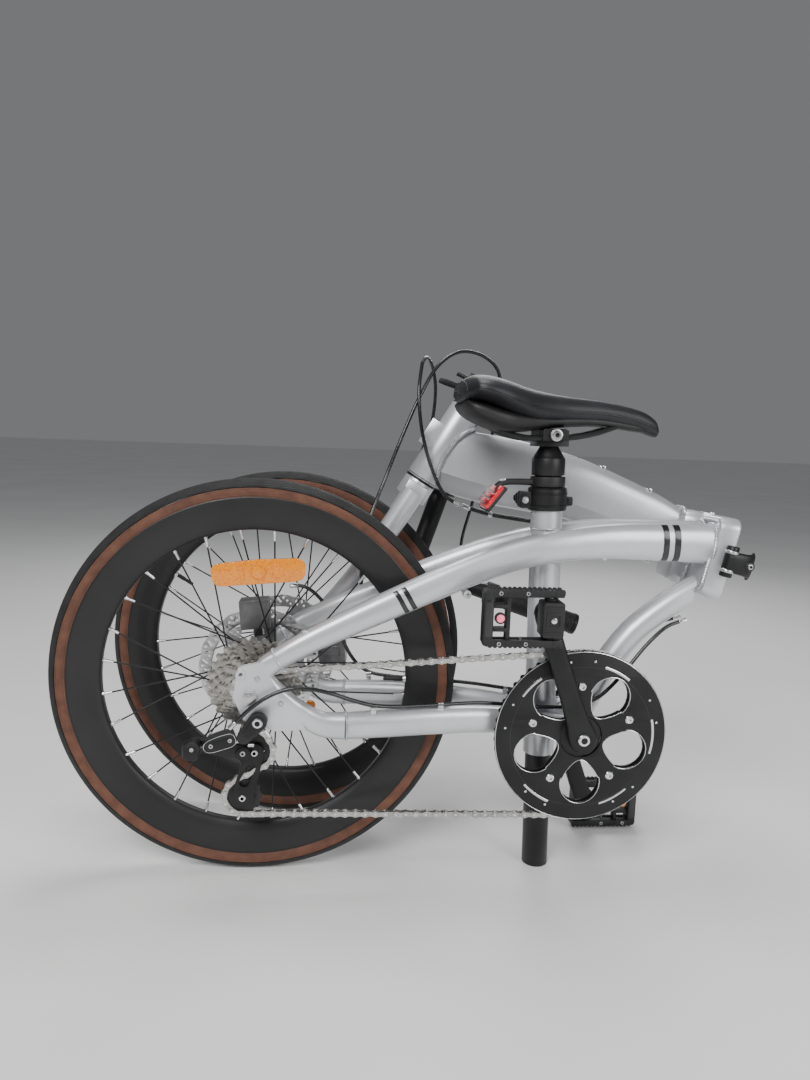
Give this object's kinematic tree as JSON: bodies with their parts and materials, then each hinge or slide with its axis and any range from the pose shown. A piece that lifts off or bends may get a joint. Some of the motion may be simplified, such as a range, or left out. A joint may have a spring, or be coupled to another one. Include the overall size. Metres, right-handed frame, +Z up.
{
  "type": "folding bicycle",
  "caption": "Folding bicycle stored folded: hinged twin-arch frame, deep-rim wheels, folding handlepost and pedals, chain drive, disc brakes, seatpost as a third foot.",
  "frame": {"origin": "middle of the seatpost's flat foot, on the ground", "axes": "+X is the riding direction of the rear half, +Y its left side, +Z up; the bicycle is stored folded, standing on both wheels and the foot"},
  "size_m": [0.8762, 0.4161, 0.6904],
  "materials": {
    "silver_paint": "satin clear-coated silver paint over aluminium",
    "black_paint": "satin black anodised and painted metal",
    "steel": "bare brushed steel",
    "chain_steel": "nickel-plated chain plates",
    "rubber": "black tread with a tan-brown sidewall band",
    "black_plastic": "moulded matte black plastic",
    "housing": "black cable housing",
    "saddle": "black synthetic leather over foam",
    "red_lens": "moulded red reflector",
    "pewter": "dark grey die-cast alloy"
  },
  "bodies": {
    "rear_frame": {"seat_tube": "silver_paint", "arch_tube_right": "silver_paint", "arch_tube_left": "silver_paint", "down_tube": "silver_paint", "chainstay_right": "silver_paint", "chainstay_left": "silver_paint", "hinge_casting_rear": "silver_paint", "hinge_pin": "steel", "seat_clamp": "black_paint", "bb_cartridge": "pewter", "rear_axle": "steel", "rear_caliper": "pewter", "derailleur_body": "black_plastic", "chain": "chain_steel", "rear_cables": "housing"},
    "seatpost": {"seatpost": "black_paint", "saddle_rails": "steel", "saddle_cover": "saddle", "rear_reflector": "red_lens"},
    "seat_clamp_lever": {"seat_clamp_lever": "black_paint"},
    "rear_wheel": {"rear_tyre": "rubber", "rear_rim": "black_paint", "rear_spokes": "black_paint", "rear_hub": "black_paint", "rear_rotor": "steel"},
    "cassette": {"cassette": "steel"},
    "crank": {"crank_spindle": "steel", "crank_right": "black_paint", "chainring": "black_paint", "crank_left": "black_paint"},
    "pedal_hub_right": {"pedal_hub_right": "black_plastic"},
    "pedal_right": {"pedal_platform_right": "black_plastic"},
    "pedal_hub_left": {"pedal_hub_left": "black_plastic"},
    "pedal_left": {"pedal_platform_left": "black_plastic"},
    "derailleur_link": {"derailleur_link": "black_plastic"},
    "derailleur_knuckle": {"derailleur_knuckle": "black_plastic"},
    "derailleur_cage": {"derailleur_cage": "black_plastic"},
    "jockey_upper": {"jockey_upper": "black_plastic"},
    "jockey_lower": {"jockey_lower": "black_plastic"},
    "front_frame": {"front_tube": "silver_paint", "head_tube": "silver_paint", "hinge_casting_front": "silver_paint", "front_cables": "housing", "bar_cables": "housing"},
    "main_latch": {"main_latch": "black_paint"},
    "fork": {"fork_crown": "silver_paint", "fork_legs": "silver_paint", "front_caliper": "pewter", "post_base": "black_paint"},
    "front_wheel": {"front_tyre": "rubber", "front_rim": "black_paint", "front_spokes": "black_paint", "front_hub": "black_paint", "front_rotor": "steel"},
    "handlepost": {"handlepost": "black_paint"},
    "handlebar": {"handlebar": "black_paint", "bar_controls": "black_plastic"},
    "post_latch": {"post_latch": "black_paint"},
    "brake_lever_right": {"brake_lever_right": "black_plastic"},
    "brake_lever_left": {"brake_lever_left": "black_plastic"}
  },
  "joints": [
    {"name": "seatpost_slide", "type": "slide", "parent": "rear_frame", "child": "seatpost", "axis": [-0.0227, 0, 0.9997], "range_m": [0, 0.33]},
    {"name": "seat_clamp_lever_turn", "type": "hinge", "parent": "rear_frame", "child": "seat_clamp_lever", "pos_m": [-0.04212, 0.017, 0.48972], "axis": [-0.0227, 0, 0.9997], "range_deg": [0, 95]},
    {"name": "main_fold", "type": "hinge", "parent": "rear_frame", "child": "front_frame", "pos_m": [0.22351, 0.052, 0.42], "axis": [-0.213, 0, -0.977], "range_deg": [0, 173.7]},
    {"name": "main_latch_turn", "type": "hinge", "parent": "rear_frame", "child": "main_latch", "pos_m": [0.21374, -0.046, 0.42213], "axis": [-0.213, 0, -0.977], "range_deg": [0, 110]},
    {"name": "steering", "type": "hinge", "parent": "front_frame", "child": "fork", "pos_m": [-0.15646, 0.14725, 0.50285], "axis": [0.5131, -0.0352, 0.8576], "range_deg": [-5, 28]},
    {"name": "front_wheel_spin", "type": "hinge", "parent": "fork", "child": "front_wheel", "pos_m": [-0.34671, 0.16193, 0.25464], "axis": [-0.1072, -0.994, 0.0234], "continuous": true},
    {"name": "rear_wheel_spin", "type": "hinge", "parent": "rear_frame", "child": "rear_wheel", "pos_m": [-0.37449, 0, 0.2535], "axis": [0, 1, 0], "continuous": true},
    {"name": "crank_spin", "type": "hinge", "parent": "rear_frame", "child": "crank", "pos_m": [0.03351, 0, 0.198], "axis": [0, 1, 0], "continuous": true},
    {"name": "cassette_spin", "type": "hinge", "parent": "rear_frame", "child": "cassette", "pos_m": [-0.37449, -0.04, 0.2535], "axis": [0, 1, 0], "continuous": true},
    {"name": "pedal_right_spin", "type": "hinge", "parent": "crank", "child": "pedal_hub_right", "pos_m": [-0.02464, -0.091, 0.35775], "axis": [0, 1, 0], "continuous": true},
    {"name": "pedal_left_spin", "type": "hinge", "parent": "crank", "child": "pedal_hub_left", "pos_m": [0.09165, 0.091, 0.03825], "axis": [0, 1, 0], "continuous": true},
    {"name": "pedal_right_fold", "type": "hinge", "parent": "pedal_hub_right", "child": "pedal_right", "pos_m": [-0.02464, -0.091, 0.35775], "axis": [0, 0, 1], "range_deg": [0, 90]},
    {"name": "pedal_left_fold", "type": "hinge", "parent": "pedal_hub_left", "child": "pedal_left", "pos_m": [0.09165, 0.091, 0.03825], "axis": [0, 0, 1], "range_deg": [0, 90]},
    {"name": "derailleur_swing", "type": "hinge", "parent": "rear_frame", "child": "derailleur_link", "pos_m": [-0.38049, -0.081, 0.2075], "axis": [0.2652, 0, -0.9642], "range_deg": [0, 28]},
    {"name": "derailleur_knuckle_swing", "type": "hinge", "parent": "derailleur_link", "child": "derailleur_knuckle", "pos_m": [-0.42049, -0.076, 0.1965], "axis": [0.2652, 0, -0.9642], "range_deg": [-28, 0]},
    {"name": "derailleur_cage_turn", "type": "hinge", "parent": "derailleur_knuckle", "child": "derailleur_cage", "pos_m": [-0.38349, -0.05, 0.1805], "axis": [0, -1, 0], "range_deg": [-15, 35], "stiffness_Nm_per_rad": 0.8, "deforming": ["chain"]},
    {"name": "jockey_upper_spin", "type": "hinge", "parent": "derailleur_cage", "child": "jockey_upper", "pos_m": [-0.37049, -0.05, 0.1775], "axis": [0, -1, 0], "continuous": true},
    {"name": "jockey_lower_spin", "type": "hinge", "parent": "derailleur_cage", "child": "jockey_lower", "pos_m": [-0.38449, -0.05, 0.12], "axis": [0, 1, 0], "continuous": true},
    {"name": "handlepost_fold", "type": "hinge", "parent": "fork", "child": "handlepost", "pos_m": [-0.0681, 0.18525, 0.6416], "axis": [0.9035, -0.1072, -0.415], "range_deg": [0, 180], "deforming": ["bar_cables"]},
    {"name": "bar_turn", "type": "hinge", "parent": "handlepost", "child": "handlebar", "pos_m": [-0.15441, 0.23228, 0.36314], "axis": [0.3117, -0.0113, 0.9501], "range_deg": [0, 90]},
    {"name": "post_latch_turn", "type": "hinge", "parent": "handlepost", "child": "post_latch", "pos_m": [-0.03539, 0.2578, 0.62542], "axis": [-0.3117, 0.0113, -0.9501], "range_deg": [0, 100]},
    {"name": "brake_lever_right_pull", "type": "hinge", "parent": "handlebar", "child": "brake_lever_right", "pos_m": [-0.27938, 0.27893, 0.4047], "axis": [0.3117, -0.0113, 0.9501], "range_deg": [0, 9], "stiffness_Nm_per_rad": 1.5, "springref_deg": -5.73},
    {"name": "brake_lever_left_pull", "type": "hinge", "parent": "handlebar", "child": "brake_lever_left", "pos_m": [-0.02258, 0.24924, 0.32009], "axis": [-0.3117, 0.0113, -0.9501], "range_deg": [0, 9], "stiffness_Nm_per_rad": 1.5, "springref_deg": -5.73}
  ],
  "couplings": [
    {"joint": "cassette_spin", "follows": "crank_spin", "ratio": 4.8182},
    {"joint": "jockey_upper_spin", "follows": "crank_spin", "ratio": 4.8182},
    {"joint": "jockey_lower_spin", "follows": "crank_spin", "ratio": 4.8182},
    {"joint": "derailleur_knuckle_swing", "follows": "derailleur_swing", "ratio": -1},
    {"joint": "bar_turn", "follows": "handlepost_fold", "ratio": 0.5}
  ]
}
